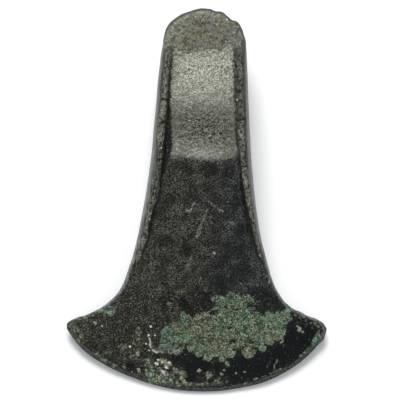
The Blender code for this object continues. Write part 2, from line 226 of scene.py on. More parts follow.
FLAKES = (
    (119.2, 346.2, 1.5), (122, 345, 1.7), (125, 347, 1.5), (122.6, 349.2, 1.4), (131, 356.8, 1.5),
    (134.2, 355.4, 1.6), (136.4, 358.4, 1.5), (133.4, 360, 1.4), (106.4, 353, 1.6), (110, 352.4, 1.5),
    (109.2, 356, 1.3), (98.6, 351.8, 1.3), (98, 354.8, 1.1), (123.6, 365.2, 1.6), (125, 367.6, 1.2),
    (126.6, 362, 1.1), (132, 372, 1.2), (146.8, 360, 2.2), (150, 358.6, 1.8), (145.4, 364.4, 1.9),
    (149.2, 363.2, 2.2), (153, 362.4, 1.9), (152.6, 366.6, 1.8), (148.4, 368, 2.1), (174, 369, 1.9),
    (176, 372, 1.8), (172.4, 373, 1.4), (180, 373.4, 2.1), (184.6, 375.6, 2.2), (183.4, 380.4, 2.2),
    (186.4, 384, 1.8), (179.6, 378, 1.6), (173.8, 376.8, 1.6), (177, 382, 1.8), (151.6, 326.8, 1.3),
    (140.8, 331.2, 1.6), (136.4, 328.2, 1.4), (91.4, 320.8, 1.6), (211, 375, 1.9), (215, 381.6, 2.1),
    (218.6, 378.6, 1.5), (221, 384, 1.6), (226.6, 382, 1.4), (206, 382.6, 1.4), (310.4, 322.6, 1.4),
    (314.4, 323.6, 1.5), (318.4, 326.6, 1.4), (312, 328, 1.1), (319.6, 331, 1.3), (307, 321.4, 1),
    (197, 271.4, 3.2), (199.4, 269, 2.2), (205.4, 289.4, 2.2), (187.4, 210.2, 1.2), (295, 315.4, 1.2),
    (303.8, 317, 1.5), (306.4, 324.6, 1.1), (213.6, 292.6, 1.4), (216.6, 296, 1.6), (212.4, 297.8, 1.5),
    (215.4, 301, 1.5), (160.6, 313.6, 1.2), (87, 331, 1.3),
)

# Bright grains, and strokes of pale crust, scratches and streaks: points, half width and strength
BRIGHT_GRAINS = (
    (129.9, 346.6, 1.1), (158.2, 360.2, 1.0), (155.6, 363, 1.1), (157.6, 364.4, 1.0), (162.2, 362, 0.7),
    (169.4, 362.6, 1.0), (166.0, 367.4, 0.8), (168, 368, 0.8), (162.6, 371.2, 1.1), (164, 372.8, 0.9),
    (150.8, 326.6, 1.1), (102, 326, 0.8), (135.4, 289.5, 0.8), (146, 343.8, 0.9), (148.3, 335.2, 0.9),
    (149, 350.2, 0.7), (155, 335.4, 0.8), (237.2, 99.8, 0.9), (242.2, 137.4, 0.6), (165.7, 108.6, 0.5),
    (165.2, 119.6, 0.5), (163.4, 139, 0.5), (161.4, 148, 0.6), (151, 213.6, 0.5), (149.8, 219.6, 0.5),
    (227.3, 19.6, 0.7), (195.6, 16.6, 0.6), (216.6, 24, 0.5),
)
PALE_STROKES = (
    (((149, 337.4), (150.4, 341), (150.2, 345.4), (152.6, 349.4), (156.6, 352.6)), 0.8, 1.0),
    (((194.2, 203), (192.6, 207), (190.8, 210.4)), 0.5, 0.5),
    (((191, 210), (188.6, 210.9), (185.8, 210.8)), 0.75, 0.5),
    (((207, 209.8), (205, 215.5), (201.4, 223), (197.6, 231), (195.6, 237.4)), 0.5, 0.34),
    (((201.4, 227.6), (200, 232.4), (197, 237.4)), 0.5, 0.3),
    (((208.8, 201.6), (214, 205.4), (219, 209.6), (223.4, 211)), 0.35, 0.4),
    (((228, 221.6), (231, 222), (234.4, 224.2)), 0.4, 0.28),
    (((191, 257), (188.6, 264), (184.6, 272)), 0.9, 0.14),
    (((267, 367.5), (270.6, 361)), 0.3, 0.3),
    (((274.6, 369.6), (274.6, 365), (277.4, 359.6)), 0.4, 0.42),
    (((207.5, 312.8), (212, 310), (217.6, 308)), 0.5, 0.4),
    (((239, 283.6), (250, 284.4), (262, 284.6)), 0.35, 0.14),
    (((167.6, 304.6), (169, 303), (171, 303.4)), 0.6, 0.4),
    (((238.6, 130), (240, 134), (243.4, 136), (242.6, 140)), 0.7, 0.45),
    (((243.6, 176), (245.6, 181), (246.4, 186)), 0.7, 0.36),
    (((310, 317.8), (318, 321), (323.4, 326.6), (324.4, 333), (321.6, 340)), 0.6, 0.22),
    (((183.5, 153.6), (190, 150.6), (197, 147.6)), 0.7, 0.3),
    (((187, 156.6), (194, 153.6), (202, 150.4)), 0.7, 0.34),
    (((195, 156.8), (204, 154), (213, 151)), 0.7, 0.26),
    (((205, 157), (214, 155.6), (222, 151.6)), 0.6, 0.2),
)

# Furrows across the haft seat, with painted shade in them
SEAT_FURROWS = (
    (((191.9, 128.1), (200, 126.3), (208.8, 127.5), (215, 124.4)), 0.9, 1.0),
    (((186.3, 113.8), (195, 111.9), (200, 110.6)), 0.8, 0.7),
    (((196.3, 123.8), (205, 121.3), (215, 122.8)), 0.8, 0.8),
    (((200, 133.8), (210, 132.5), (220, 133.1), (226.3, 136.3)), 0.8, 0.9),
    (((188.8, 137.5), (198.8, 140)), 0.8, 0.7),
    (((215, 131.3), (224, 130.4), (232.5, 131.9)), 0.8, 0.7),
)

# Where the dark patina is bluish, dimmer, speckled, or calm and glossy, and how it turns from brown on
# the left to blue-black on the right and from web to blade
BLUE_PLACES = (
    (170, 204, 9), (198, 198, 9), (232, 247, 12), (214, 281, 12), (263, 271, 7), (240, 182, 6),
    (222, 258, 8),
)
DIM_PLACES = (
    (188, 170, 13), (210, 171, 14), (228, 174, 11), (229, 250, 19), (216, 284, 18), (190, 303, 16),
    (262, 298, 18), (168, 240, 8), (246, 228, 12), (168, 300, 14), (205, 302, 12), (240, 270, 18),
    (186, 250, 9), (218, 265, 12), (200, 290, 12), (236, 205, 9), (170, 203, 9), (198, 198, 7),
    (214, 281, 11),
)
SPECKLED_PLACES = (
    (232, 165, 9), (241, 169, 8), (299, 319, 8), (307, 321, 7), (315, 325, 6), (268, 305, 9),
    (258, 304, 6),
)
CALM_PLACES = (
    (300, 344, 22), (283, 360, 22), (264, 368, 17), (247, 367, 14), (182, 358, 12), (198, 362, 10),
    (309, 348, 10), (234, 367, 10), (130, 368, 5), (192, 376, 7), (206, 366, 7), (292, 334, 10),
    (190, 368, 8), (240, 378, 9), (303, 334, 8), (256, 376, 9), (218, 368, 5), (184, 304, 6),
)
WARM_COLUMNS = (175, 250)
BLADE_COLUMNS = (155, 225)
BLADE_ROWS = (283, 301)

# Crust along the inner border of the bevel, and green growth along the edge
BEVEL_CRUST_WIDTH = 1.2
BEVEL_CRUST = (
    (244, 384), (253, 379.5), (262, 377), (274, 372.5), (284, 366.5), (293, 361), (301, 355), (311, 347),
)
EDGE_GROWTH = (
    (((97, 354.6), (103, 359), (110, 363.5), (118, 367.5)), 1.7),
    (((150, 380), (162, 382.5), (176, 385), (190, 385.5), (204, 385), (222, 383.5)), 1.5),
    (((70.6, 320.6), (72, 327), (76, 333)), 1.8),
    (((74, 320.6), (84, 317.4), (93, 314.6), (102, 311)), 1.3),
)

# Paleness of the patina down the head's middle, partly its own and partly painted light: brighter where
# the seat tilts towards the light and at the stop's bevel, darker in its dip. Row of the photograph, share
# of the palest
PALE_AND_LIT_ROWS = (
    (38, 0.36), (46, 0.58), (54, 0.82), (62, 0.94), (76, 0.95), (88, 0.86), (98, 0.66), (108, 0.44),
    (117, 0.25), (132, 0.22), (138, 0.34), (143, 0.44), (152, 0.44), (158, 0.34), (164, 0.18), (170, 0.08),
)

# Lower border of the rough butt, and the stop that ends the haft seat, with how softly each fades
BUTT_LINE = (
    (160, 52), (173, 46), (180, 50), (186, 54), (194, 52), (201, 51), (209, 48), (220, 50), (227, 46),
    (234, 41), (246, 40),
)
STOP_LINE = ((160, 158), (172, 159), (185, 158), (200, 161), (215, 162), (225, 161), (236, 157), (248, 156))
STOP_ROW = 161
STOP_ZONE_ROW = 140
BUTT_BORDER = (-2.0, 1.5)
STOP_BORDER = (-6.5, 6.5)
BEVEL_BORDER = (0.9, 1.6)
# Reach from the outline and rows of the painted shade along the butt's rim
BUTT_RIM = (0.2, 0.85)
BUTT_RIM_ROWS = (30, 60)

# Haft seat: a dip given painted shade, and a wrinkled part, with their reach, its darker borders, its
# paleness on the lower face, and the way its creases run
DIP_SHADE_MIDDLE = (203, 124)
DIP_SHADE_REACH = (19, 11)
WRINKLED_MIDDLE = (204, 129)
WRINKLED_REACH = (30, 21)
SEAT_LEFT_COLUMNS = (172, 188)
SEAT_TOP_ROWS = (70, 110)
SEAT_RIGHT_COLUMNS = (205, 236)
UNDER_PALE = 0.6
CREASE_RUN = ((0.6, 0.5, 0), (0.35, -1.25, 0), (0, 0, 1))

# Grain, in millimetres: sizes of pebbles and beads, and how far each kind of wear is raised or sunk
PEBBLE_SIZE = 0.66
LOBE_SIZE = 1.9
BEAD_SIZE = 0.9
CELL_SIZE = 1.1
HAMMERED_DEPTH = 0.10
CREST_GRAIN = 0.09
STREAK_DEPTH = 0.05
FLANK_GRAIN = 0.02
CRACK_DEPTH = 0.35
FOOT_DEPTH = 0.22
BROW_DEPTH = 0.1
PEBBLE_DEPTH = 0.09
CREASE_DEPTH = 0.09
FURROW_DEPTH = 0.06
BUTT_DEPTH = 0.10
BUTT_GRAIN = 0.06
CRUST_THICKNESS = 0.12
GROWTH_HEIGHT = 0.16
CRYSTAL_HEIGHT = 0.14
BRIGHT_HEIGHT = 0.08
SCRATCH_DEPTH = 0.03
PIT_DEPTH = 0.045

# Light: an even room with a dimmer ceiling, between two angles from straight up, and a window beyond
# the butt, a little to the left
ROOM_TINT = (0.97, 0.985, 1.0, 1)
SKY_STRENGTH = 0.84
CEILING_STRENGTH = 0.14
CEILING_RIM = math.radians(42)
CEILING_MIDDLE = math.radians(16)
WINDOW_PLACE = (-0.12, 1.0, 0.8)
WINDOW_SIZE = 0.6
WINDOW_POWER = 20.0
TABLE_SIZE = 2.0
PAPER_WHITE = (0.9, 0.9, 0.9, 1)
PAPER_ROUGHNESS = 0.9
PAPER_SHINE = 0.1


def head_axes():
    """The head's own directions and a point of its middle plane, from the two haft seats."""
    seats = {mount["name"]: mount for mount in frame["record"]["mounts"]}
    top = seats["haft_seat_top"]
    under = seats["haft_seat_under"]
    out = (Vector(top["axis"]) - Vector(under["axis"])).normalized()
    across = Vector((1, 0, 0))
    along = out.cross(across)
    middle = (Vector(top["pos_m"]) + Vector(under["pos_m"])) / 2
    return across, along, out, middle


ACROSS, ALONG, OUT, MIDDLE_POINT = head_axes()


def smooth_step(values, start, stop):
    """0 up to start, 1 from stop on, and a smooth rise between."""
    share = np.clip((values - start) / (stop - start), 0, 1)
    return share * share * (3 - 2 * share)


def ridge(values, width):
    """1 where the values are zero, falling off to both sides over a width."""
    return np.exp(-((values / width) ** 2))


def plateau(values, middle, reach):
    """1 over most of a reach to both sides of a middle, with a soft end."""
    return np.exp(-(((values - middle) / reach) ** 4))


def lumps(points, size, seed):
    """Smooth unevenness, about -1 to 1, with lumps of about a size."""
    places = points / size + np.array((seed * 17.31, seed * -9.77, seed * 5.13))
    return np.array([noise.noise(place) for place in places.tolist()])


def pebbles(points, size, seed):
    """Cells like pebbles packed together: closeness to a cell's middle, and to the joints between."""
    places = points / size + np.array((seed * 7.9, seed * 3.3, seed * -11.7))
    nearest = np.array([noise.voronoi(place)[0][:2] for place in places.tolist()])
    return 1 - np.clip(nearest[:, 0], 0, 1), 1 - smooth_step(nearest[:, 1] - nearest[:, 0], 0.02, 0.3)


def packed_cells(points, size, seed):
    """For each point the middle of the cell it lies in, in millimetres, and closeness to a joint."""
    shift = np.array((seed * 7.9, seed * 3.3, seed * -11.7))
    found = [noise.voronoi(place) for place in (points / size + shift).tolist()]
    middles = (np.array([cell[1][0][:] for cell in found]) - shift) * size
    nearest = np.array([cell[0][:2] for cell in found])
    return middles, 1 - smooth_step(nearest[:, 1] - nearest[:, 0], 0.05, 0.35)


def spots(u, v, places):
    """Closeness to round places in the photograph: 1 in a middle, 0 at a rim, less than 0 outside."""
    close = np.full(len(u), FAR_AWAY)
    for middle_u, middle_v, radius in places:
        close = np.maximum(close, 1 - np.hypot(u - middle_u, v - middle_v) / radius)
    return close


def chips(u, v, places):
    """Closeness to four-cornered places in the photograph, each turned its own way."""
    close = np.full(len(u), FAR_AWAY)
    for number, (middle_u, middle_v, radius) in enumerate(places):
        turn = number * 1.1
        across = (u - middle_u) * math.cos(turn) + (v - middle_v) * math.sin(turn)
        along = (v - middle_v) * math.cos(turn) - (u - middle_u) * math.sin(turn)
        close = np.maximum(close, 1 - np.maximum(np.abs(across), 1.4 * np.abs(along)) / radius)
    return close


def rim_distance(u, v, places):
    """Distance inside the rim of a union of round places, in pixels."""
    inside = np.full(len(u), FAR_OUTSIDE)
    for middle_u, middle_v, radius in places:
        inside = np.maximum(inside, radius - np.hypot(u - middle_u, v - middle_v))
    return inside


def stroke(u, v, line, half_width):
    """1 on a line drawn in the photograph, and 0 from its half width away."""
    nearest = np.full(len(u), np.inf)
    for (u0, v0), (u1, v1) in zip(line, line[1:]):
        span = (u1 - u0) ** 2 + (v1 - v0) ** 2
        share = np.clip(((u - u0) * (u1 - u0) + (v - v0) * (v1 - v0)) / span, 0, 1)
        nearest = np.minimum(nearest, np.hypot(u - u0 - share * (u1 - u0), v - v0 - share * (v1 - v0)))
    return 1 - smooth_step(nearest, half_width * 0.5, half_width * 1.6)


def strokes(u, v, lines):
    """The strongest of several strokes at each point."""
    strongest = np.zeros(len(u))
    for line, half_width, *strength in lines:
        full = strength[0] if strength else 1
        strongest = np.maximum(strongest, stroke(u, v, line, half_width) * full)
    return strongest


def picture_places(points):
    """Where points of the head, in millimetres, show in the photograph."""
    near = (CAMERA_LEVEL - PLATE_LEVEL) / (CAMERA_LEVEL - points[:, 2])
    x = points[:, 0] * near / PIXEL
    y = points[:, 1] * near / PIXEL
    u = HEAD_MIDDLE[0] + x * math.cos(HEAD_TURN) + y * math.sin(HEAD_TURN)
    v = HEAD_MIDDLE[1] + x * math.sin(HEAD_TURN) - y * math.cos(HEAD_TURN)
    return u, v


def smooth_casting(node):
    """The casting's solid as one smooth skin, a little finer than the solid."""
    mesh = bmesh.new()
    mesh.from_mesh(node.data)
    bmesh.ops.remove_doubles(mesh, verts=mesh.verts, dist=WELD * MM)
    bmesh.ops.join_triangles(
        mesh, faces=mesh.faces, angle_face_threshold=math.pi, angle_shape_threshold=math.pi
    )
    cage = bpy.data.meshes.new("casting_cage")
    mesh.to_mesh(cage)
    mesh.free()
    casting = bpy.data.objects.new("casting_cage", cage)
    bpy.context.scene.collection.objects.link(casting)
    rounding = casting.modifiers.new("rounding", "SUBSURF")
    rounding.levels = 1
    rounding.render_levels = 1
    evaluated = casting.evaluated_get(bpy.context.evaluated_depsgraph_get())
    skin = bpy.data.meshes.new_from_object(evaluated)
    bpy.data.objects.remove(casting)
    return skin


def divide(skin):
    """Divides a skin until no edge is longer than its place allows."""
    mesh = bmesh.new()
    mesh.from_mesh(skin)
    bmesh.ops.triangulate(mesh, faces=mesh.faces)
    for _ in range(DIVIDE_ROUNDS):
        places = np.array([(edge.verts[0].co + edge.verts[1].co) / 2 for edge in mesh.edges])
        above = (places - np.array(MIDDLE_POINT)) @ np.array(OUT) > 0
        u, v = picture_places(places / MM)
        over_seat = (u > FINE_SEAT_COLUMNS[0]) & (u < FINE_SEAT_COLUMNS[1]) & (v < FINE_SEAT_ROW)
        fine = above & ((v > FINE_BLADE_ROW) | over_seat)
        limits = np.where(fine, FINE_EDGE, np.where(above, FACE_EDGE, UNDER_EDGE)) * MM
        long_edges = [edge for edge, limit in zip(mesh.edges, limits) if edge.calc_length() > limit]
        if not long_edges:
            break
        bmesh.ops.subdivide_edges(mesh, edges=long_edges, cuts=1, use_single_edge=True)
        many_sided = [face for face in mesh.faces if len(face.verts) > 3]
        bmesh.ops.triangulate(mesh, faces=many_sided)
    mesh.to_mesh(skin)
    mesh.free()


class Casting:
    """Every point of the skin with its places: in the head, in the photograph and from the outline."""

    def __init__(self, skin):
        count = len(skin.vertices)
        flat = np.empty(count * 3)
        skin.vertices.foreach_get("co", flat)
        self.points = flat.reshape(-1, 3) / MM
        skin.vertex_normals.foreach_get("vector", flat)
        self.outward = flat.reshape(-1, 3).copy()
        local = self.points - np.array(MIDDLE_POINT) / MM
        self.across = local @ np.array(ACROSS)
        along = local @ np.array(ALONG)
        self.from_butt = along.max() - along
        self.height = local @ np.array(OUT)
        self.above = self.height > 0
        self.u, self.v = picture_places(self.points)
        outline = np.abs(self.height) < OUTLINE_REACH
        on_side = (self.from_butt > SIDES_FROM_BUTT) & (self.from_butt < TIP_FROM_BUTT)
        self.from_outline = self.distance_from(outline)
        self.from_side = self.distance_from(outline & on_side)
        self.from_edge = self.distance_from(outline & (self.from_butt > TIP_FROM_BUTT))

    def distance_from(self, chosen):
        """Distance in the head's own plan from every point to the nearest of the chosen ones."""
        plan = np.stack([self.across, self.from_butt, np.zeros(len(self.across))], axis=1)
        tree = kdtree.KDTree(int(chosen.sum()))
        for index, place in enumerate(plan[chosen].tolist()):
            tree.insert(place, index)
        tree.balance()
        return np.array([tree.find(place)[2] for place in plan.tolist()])

    def shift_outline(self):
        """Bends the even outline of the solid to the real one, whose two sides differ a little."""
        out = np.abs(self.across)
        window = smooth_step(self.from_butt, *HORN_STARTS) * (1 - smooth_step(self.from_butt, *HORN_ENDS))
        window *= smooth_step(out, *HORN_INNER) * (1 - smooth_step(out, *HORN_OUTER))
        self.points[:, 1] += window * np.where(self.across < 0, *HORN_MOVES)
        self.u, self.v = picture_places(self.points)
        for middle_u, middle_v, right, down, reach in OUTLINE_SHIFTS:
            weight = ridge(np.hypot(self.u - middle_u, self.v - middle_v), reach)
            self.points[:, 0] += weight * right * PIXEL
            self.points[:, 1] -= weight * down * PIXEL
        self.u, self.v = picture_places(self.points)


def bands(head):
    """Shares of a flange's flank, crest and inner slope with the shadow beside it, where shade is painted,
    and distances past the flank and the crest.
    """
    left = np.array(LEFT_BANDS)
    right = np.array(RIGHT_BANDS)
    ends = []
    for column in (1, 2, 3):
        on_left = np.interp(head.v, left[:, 0], left[:, column])
        on_right = np.interp(head.v, right[:, 0], right[:, column])
        on_top = np.where(head.across < 0, on_left, on_right)
        ends.append(np.where(head.above, on_top, (on_left + on_right) / 2))
    flank_end, crest_end, slope_end = ends
    wander = 0.24 * lumps(head.points, 1.9, seed=3) + 0.14 * lumps(head.points, 0.8, seed=4)
    start = smooth_step(head.from_butt, *FLANGE_STARTS)
    inset = head.from_side + wander
    flank = 1 - smooth_step(head.from_side + 0.5 * wander, flank_end - 0.25, flank_end + 0.15)
    crest = (1 - flank) * (1 - smooth_step(inset, crest_end - 0.2, crest_end + 0.2)) * start
    fringe = 0.3 * lumps(head.points, 1.3, seed=37) + 0.25 * lumps(head.points, 0.6, seed=38)
    fade = np.interp(head.v, FRINGE_ROWS, FRINGE_WIDTHS)
    slope_share = 1 - smooth_step(inset + fringe, slope_end - fade, slope_end + 0.5 * fade)
    slope = (1 - flank) * (1 - crest) * slope_share * start
    return flank, crest, slope, inset - flank_end, inset - crest_end


class Weathering:
    """The shares of each finish at every point of the head, and how far it is raised or sunk there."""

    def __init__(self, head):
        self.head = head
        self.above = head.above.astype(float)
        self.u = head.u + 0.9 * self.uneven(1.1, seed=1) + 0.5 * self.uneven(0.5, seed=11)
        self.v = head.v + 0.9 * self.uneven(1.1, seed=2) + 0.5 * self.uneven(0.5, seed=12)
        self.flank, self.crest, self.slope, self.past_flank, self.past_crest = bands(head)
        self.plate = (1 - self.flank) * (1 - self.crest) * (1 - self.slope)
        self.butt = 1 - smooth_step(self.v - np.interp(self.u, *zip(*BUTT_LINE)), *BUTT_BORDER)
        self.stop_line = np.interp(self.u, *zip(*STOP_LINE))
        self.seat = self.plate * (1 - self.butt) * (1 - smooth_step(self.v - self.stop_line, *STOP_BORDER))
        self.bevel = 1 - smooth_step(head.from_edge + 0.3 * self.uneven(1.5, seed=29), *BEVEL_BORDER)
        self.relief = np.zeros(len(head.u))
        self.shares = {}
        self.flanges()
        self.haft_seat()
        self.rough_butt()
        self.green_crust()
        self.small_growths()
        self.grains_and_scratches()
        self.dark_patina()

    def uneven(self, size, seed):
        """Smooth unevenness of the head, about -1 to 1, with lumps of a size in millimetres."""
        return lumps(self.head.points, size, seed)

    def within(self, places, rough, low, high):
        """Share of a finish in round places with a rough rim: 0 at a closeness of low, 1 at high."""
        return smooth_step(spots(self.u, self.v, places) + rough, low, high)

    def flanges(self):
        """Hammered crests with cracks and flakes, grooves beside them, and streaks on the flanks.
        Shade is painted into the cracks and grooves.
        """
        head = self.head
        hammered = HAMMERED_DEPTH * np.abs(self.uneven(1.7, seed=5))
        self.relief += self.crest * (CREST_GRAIN * self.uneven(0.6, seed=6) - hammered)
        streaks = lumps(head.points * np.array(FLANK_RUN), 0.8, seed=7)
        self.relief += self.flank * (STREAK_DEPTH * streaks + FLANK_GRAIN * self.uneven(0.6, seed=8))
        for middle_u, middle_v, radius, depth in CREST_FLAKES:
            flake = smooth_step(spots(self.u, self.v, ((middle_u, middle_v, radius),)), 0, 0.3)
            self.relief -= depth * flake * self.above * self.crest
        crack = strokes(self.u, self.v, [(line, CRACK_WIDTH) for line in CREST_CRACKS])
        crack *= np.maximum(self.crest, self.slope) * self.above
        lower = smooth_step(head.v, *LOWER_CREST_START) * (1 - smooth_step(head.v, *LOWER_CREST_END))
        foot = ridge(self.past_crest - 0.1, FOOT_WIDTH) * lower
        upper = smooth_step(head.v, *BROW_START) * (1 - smooth_step(head.v, *BROW_END))
        brow = ridge(self.past_flank - 0.1, BROW_WIDTH) * upper * (head.across > 0) * self.above
        self.relief -= CRACK_DEPTH * crack + FOOT_DEPTH * foot + BROW_DEPTH * brow
        self.shares["flank"] = self.flank * (1 - 0.9 * self.butt)
        self.shares["crest"] = self.crest
        # The inner slope and the left flange's shadow beside it, where shade is painted
        self.shares["slope"] = self.slope
        # Painted shade in the cracks and grooves
        self.shares["crevice_shade"] = np.clip(np.maximum(foot, np.maximum(0.8 * brow, crack)), 0, 1)
        self.shares["green"] = strokes(self.u, self.v, GREEN_CREST) * self.crest * self.above
        # Wear down the head, and painted shade on the right side's flank and crest
        side = np.where(head.across > 0, RIGHT_SIDE_LIGHT, LEFT_SIDE_LIGHT)
        self.shares["wear_and_side_shade"] = (TOP_WORN + WORN_GAIN * smooth_step(head.v, *WORN_ROWS)) * side

    def haft_seat(self):
        """Pale seat with a pebbled grain, wrinkled and darker towards the stop. Its paleness is partly
        painted light, and shade is painted in its dip, creases and furrows.
        """
        u, v = self.u, self.v
        # Paleness of the seat: partly the patina's own, partly a painted sheen where it faces the light
        pale_and_lit = np.interp(v + np.where(v > STOP_ZONE_ROW, STOP_ROW - self.stop_line, 0), *zip(*PALE_AND_LIT_ROWS))
        # Painted shade over the seat's dip
        dip_shade = ridge(u - DIP_SHADE_MIDDLE[0], DIP_SHADE_REACH[0]) * ridge(v - DIP_SHADE_MIDDLE[1], DIP_SHADE_REACH[1])
        left_border = (1 - smooth_step(u, *SEAT_LEFT_COLUMNS)) * (1 - smooth_step(v, *SEAT_TOP_ROWS))
        right_part = smooth_step(u, *SEAT_RIGHT_COLUMNS)
        pale_and_lit = pale_and_lit * (1 - 0.12 * dip_shade) * (1 - 0.14 * right_part) * (1 - 0.3 * left_border)
        pebble, _ = pebbles(self.head.points, PEBBLE_SIZE, seed=1)
        fine = 0.03 * self.uneven(0.6, seed=9)
        swell = 0.05 * self.uneven(3.0, seed=10)
        self.relief += self.seat * (PEBBLE_DEPTH * (pebble - 0.55) + fine + swell)
        wrinkled = plateau(u, WRINKLED_MIDDLE[0], WRINKLED_REACH[0])
        wrinkled = wrinkled * plateau(v, WRINKLED_MIDDLE[1], WRINKLED_REACH[1]) * self.plate
        creases = lumps(self.head.points @ np.array(CREASE_RUN), 0.62, seed=21)
        furrows = strokes(u, v, SEAT_FURROWS) * self.above
        self.relief += wrinkled * CREASE_DEPTH * creases - FURROW_DEPTH * furrows
        self.shares["seat"] = self.seat
        self.shares["pale_and_lit"] = pale_and_lit * np.where(self.head.above, 1, UNDER_PALE)
        self.shares["pebble"] = np.clip((pebble - 0.35) / 0.45, 0, 1)
        self.shares["wrinkled"] = wrinkled
        # Painted shade in the seat's creases and furrows
        self.shares["crease"] = np.maximum(wrinkled * smooth_step(-creases, 0.05, 0.4), furrows)

    def rough_butt(self):
        """Rough butt, with painted shade at its rim."""
        lump, _ = pebbles(self.head.points, 1.1, seed=2)
        self.relief += self.butt * (BUTT_DEPTH * (lump - 0.5) + BUTT_GRAIN * self.uneven(0.55, seed=13))
        # Painted shade along the butt's rim
        at_rim = 1 - smooth_step(self.head.from_outline, *BUTT_RIM)
        self.shares["butt"] = self.butt
        self.shares["rim_shade"] = at_rim * (1 - smooth_step(self.head.v, *BUTT_RIM_ROWS))

    def scallops(self, wander):
        """The crust's hanging scallops: distance inside them, the pale arcs they show, and the gaps at
        their rims, where shade is painted.
        """
        head = self.head
        scallop = np.full(len(head.u), FAR_OUTSIDE)
        hem = np.zeros(len(head.u))
        gap = np.zeros(len(head.u))
        for middle_u, middle_v, radius in SCALLOPS:
            inside = radius - np.hypot(head.u - middle_u, head.v - middle_v) + 0.6 * wander
            lower = smooth_step((head.v - middle_v) / radius, -0.2, 0.5)
            outside = 1 - smooth_step(inside, -0.5, 0.5) * lower
            arcs = np.maximum(ridge(inside - 0.9, 0.7), 0.6 * ridge(inside - 3.2, 0.6))
            hem = np.maximum(hem * outside, arcs * lower)
            rim_shade = np.maximum(ridge(inside + 0.6, 0.7), 0.4 * ridge(inside - 2.1, 0.5))
            gap = np.maximum(gap * outside, rim_shade * lower)
            scallop = np.maximum(scallop, np.where(head.v > middle_v - 1, inside, FAR_OUTSIDE))
        return scallop, hem, gap

    def green_crust(self):
        """Crust of green corrosion: a body of beads with scallops hanging from its lower side."""
        head = self.head
        lobe, lobe_joint = pebbles(head.points, LOBE_SIZE, seed=3)
        bead, _ = pebbles(head.points, BEAD_SIZE, seed=4)
        self.cell_middles, self.joint = packed_cells(head.points, CELL_SIZE, seed=5)
        mosaic = self.within(MOSAIC_PLACES, 0, -0.5, 0) * self.above
        wander = 1.6 * self.uneven(1.3, seed=14) + 0.8 * self.uneven(0.6, seed=39)
        body = rim_distance(self.u, self.v, CRUST_LOBES + MOSAIC_PLACES) + wander + 1.6 * (lobe - 0.6)
        holes = rim_distance(self.u, self.v, CRUST_HOLES) + 1.2 * self.uneven(0.7, seed=15)
        scallop, hem, gap = self.scallops(wander)
        level = np.maximum(np.minimum(body, -holes), scallop)
        under = 9 * (self.uneven(9.0, seed=31) + 0.3 * self.uneven(1.2, seed=32) - 0.3)
        under_rim = np.minimum((head.v - UNDER_CRUST_ROW) / 6, 3 * (head.from_edge - 1.6))
        level = np.where(head.above, level, np.minimum(under, under_rim))
        self.crust = smooth_step(level, -0.6, 1.0)
        hanging = smooth_step(scallop, 0.0, 0.8) * self.above
        beaded = CRUST_THICKNESS + 0.2 * (lobe - 0.4) + 0.14 * (bead - 0.5) - 0.06 * lobe_joint - 0.08 * gap
        domed = CRUST_THICKNESS + 0.2 * np.sqrt(np.clip(scallop / 5, 0, 1)) + 0.08 * (bead - 0.5)
        self.relief += self.crust * (beaded * (1 - hanging) + domed * hanging)
        # Painted shade in the crevices between the lobes and under the scallops
        seam_shade = np.maximum(gap, 0.45 * lobe_joint * (1 - hanging))
        hem = np.maximum(hem, 0.4 * ridge(body - 1.6, 1.2) * smooth_step(head.v, *HEM_ROWS))
        pale_parts = np.clip(1.6 * spots(self.u, self.v, PALE_CRUST_PLACES), 0, 0.8)
        hem = np.maximum(hem, pale_parts * (1 - self.joint))
        self.shares["crust"] = np.clip(0.5 + 0.36 * level, 0, 1)
        self.shares["seam_shade"] = np.clip(seam_shade * (1 - mosaic), 0, 1)
        self.shares["mosaic"] = mosaic
        self.shares["hem"] = np.maximum(hem, 0.5 * mosaic)
        self.shares["teal"] = self.within(TEAL_PLACES, 0.35 * self.uneven(1.6, seed=23), -0.05, 0.6)
        self.shares["verdant"] = self.within(GREEN_PLACES, 0.4 * self.uneven(1.4, seed=41), -0.05, 0.6)
        self.shares["olive"] = self.within(OLIVE_PLACES, 0.35 * self.uneven(1.6, seed=24), -0.05, 0.6)

    def small_growths(self):
        """Small growths and flakes around the crust, growth along the edge, and angular crystals."""
        head = self.head
        along_edge = strokes(self.u, self.v, EDGE_GROWTH) * (0.75 + 0.5 * self.uneven(0.9, seed=18))
        patchy = 0.35 + 1.1 * self.uneven(1.5, seed=20)
        along_bevel = stroke(self.u, self.v, BEVEL_CRUST, BEVEL_CRUST_WIDTH) * patchy
        growths = spots(*picture_places(self.cell_middles), SMALL_GROWTHS) + 0.1
        flakes = chips(head.u + 0.3 * self.uneven(0.7, seed=44), head.v, FLAKES)
        closeness = np.maximum(np.maximum(growths, flakes), np.maximum(along_edge, along_bevel) - 0.35)
        growth = np.clip(0.5 + 1.6 * closeness, 0, 1) * self.above * (1 - self.crust)
        crystal = np.clip(0.5 + 1.2 * chips(head.u, head.v, CRYSTALS), 0, 1) * self.above
        self.relief += GROWTH_HEIGHT * smooth_step(growth, 0.35, 0.7) * (1 - 0.8 * self.joint)
        self.relief += CRYSTAL_HEIGHT * smooth_step(crystal, 0.4, 0.7) * (1 - self.crust)
        self.shares["joint"] = self.joint
        self.shares["growth"] = growth
        self.shares["crystal"] = crystal

    def grains_and_scratches(self):
        """Bright grains that stand up a little, and pale scratches and seams."""
        bright = smooth_step(spots(self.head.u, self.head.v, BRIGHT_GRAINS), 0.0, 0.4) * self.above
        scratch = strokes(self.u, self.v, PALE_STROKES) * self.above
        self.relief += BRIGHT_HEIGHT * bright - SCRATCH_DEPTH * scratch * (1 - self.crust)
        self.shares["bright"] = bright
        self.shares["scratch"] = scratch

